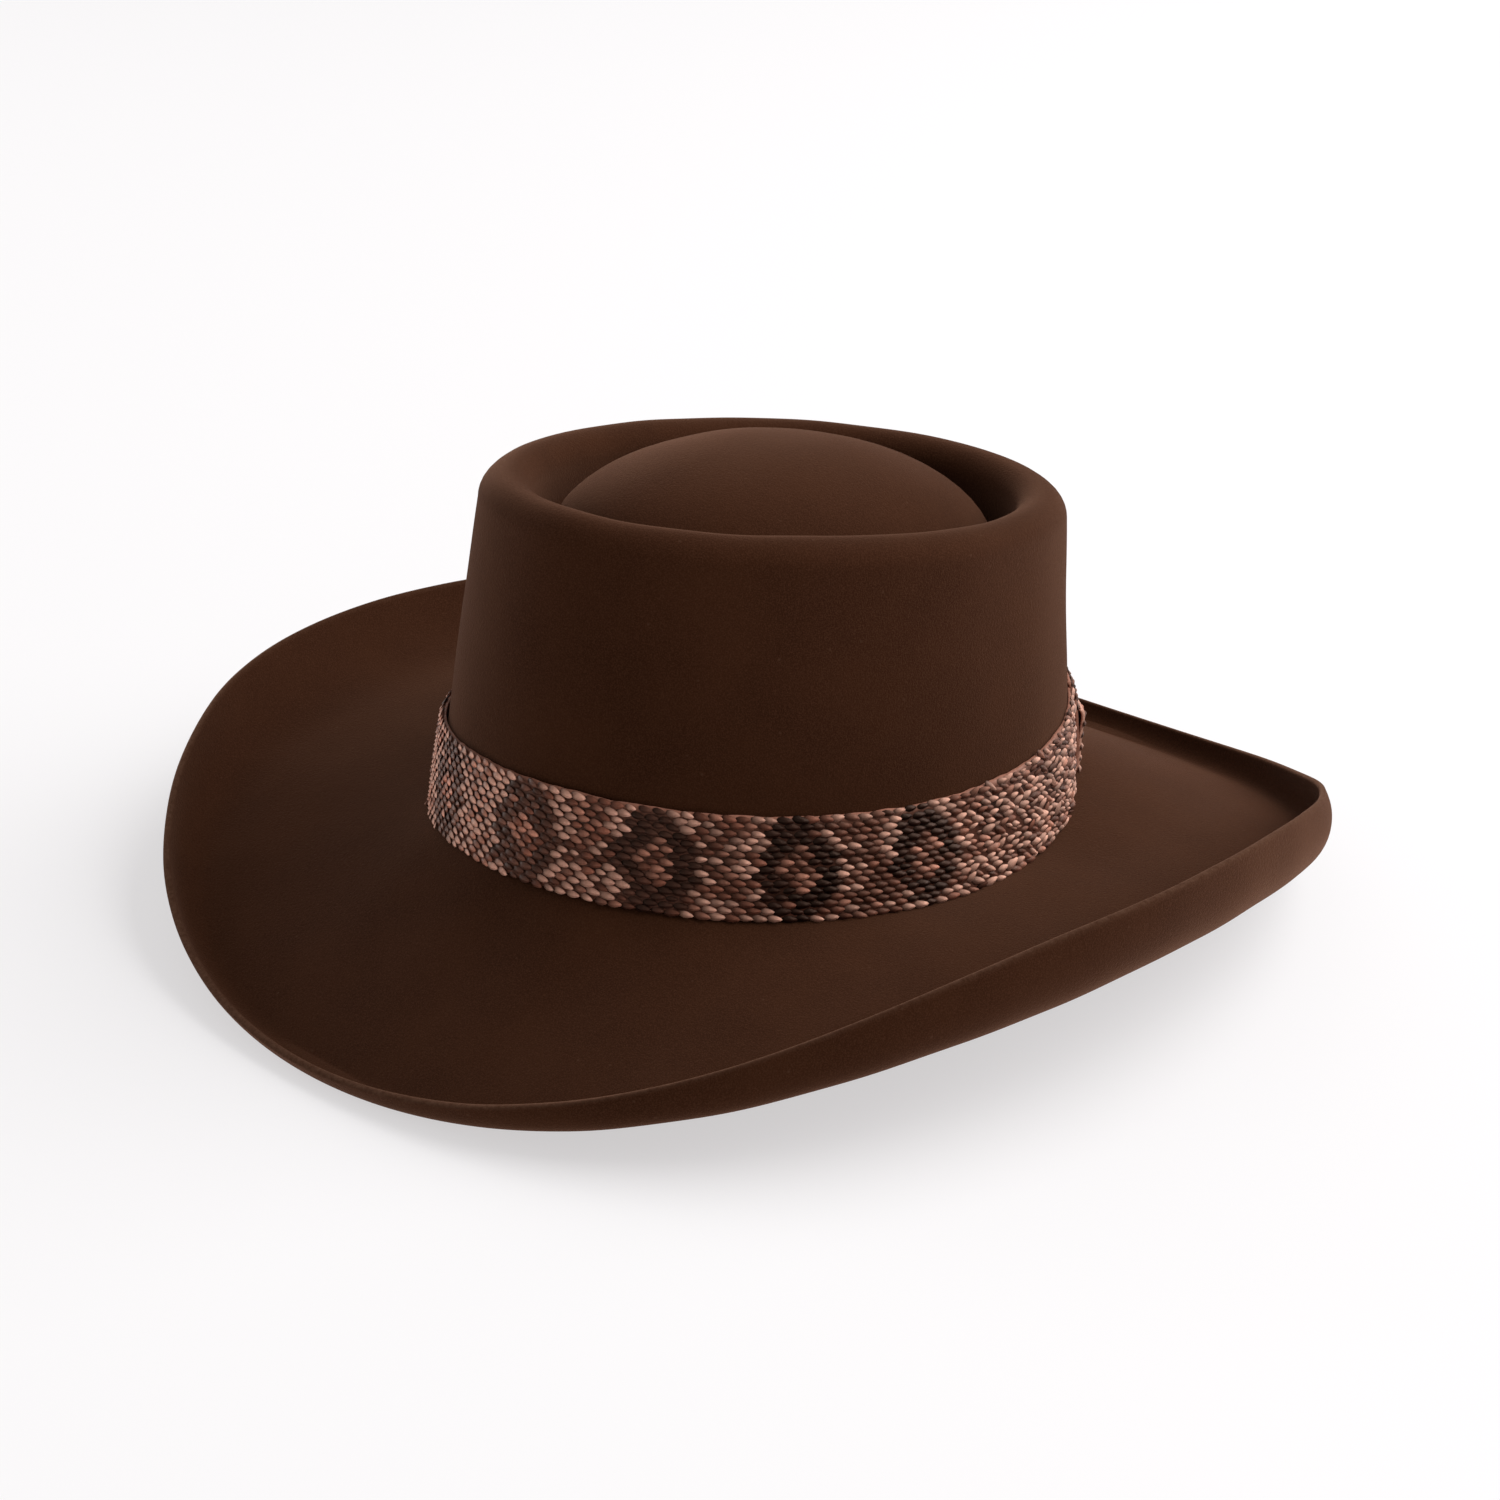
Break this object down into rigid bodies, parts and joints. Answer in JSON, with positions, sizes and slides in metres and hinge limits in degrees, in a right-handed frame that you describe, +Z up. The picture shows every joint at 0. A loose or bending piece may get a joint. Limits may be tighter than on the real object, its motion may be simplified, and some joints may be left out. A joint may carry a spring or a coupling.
{
  "type": "wide brim felt hat",
  "caption": "Felt hat with a telescope crown, a wide dipped brim with a rolled edge and a patterned snakeskin band.",
  "frame": {"origin": "on the surface that the brim rests on, under the middle of the hat's bounding box", "axes": "+Z up, -Y the front of the hat, +X the wearer's left"},
  "size_m": [0.351, 0.3534, 0.1463],
  "materials": {
    "felt": "dark brown napped felt",
    "snakeskin": "scaled snakeskin with a diamond pattern",
    "keeper_skin": "dark scaled snakeskin, folded"
  },
  "bodies": {
    "root": {"felt_body": "felt", "snakeskin_band": "snakeskin", "band_keeper": "keeper_skin"}
  },
  "joints": []
}
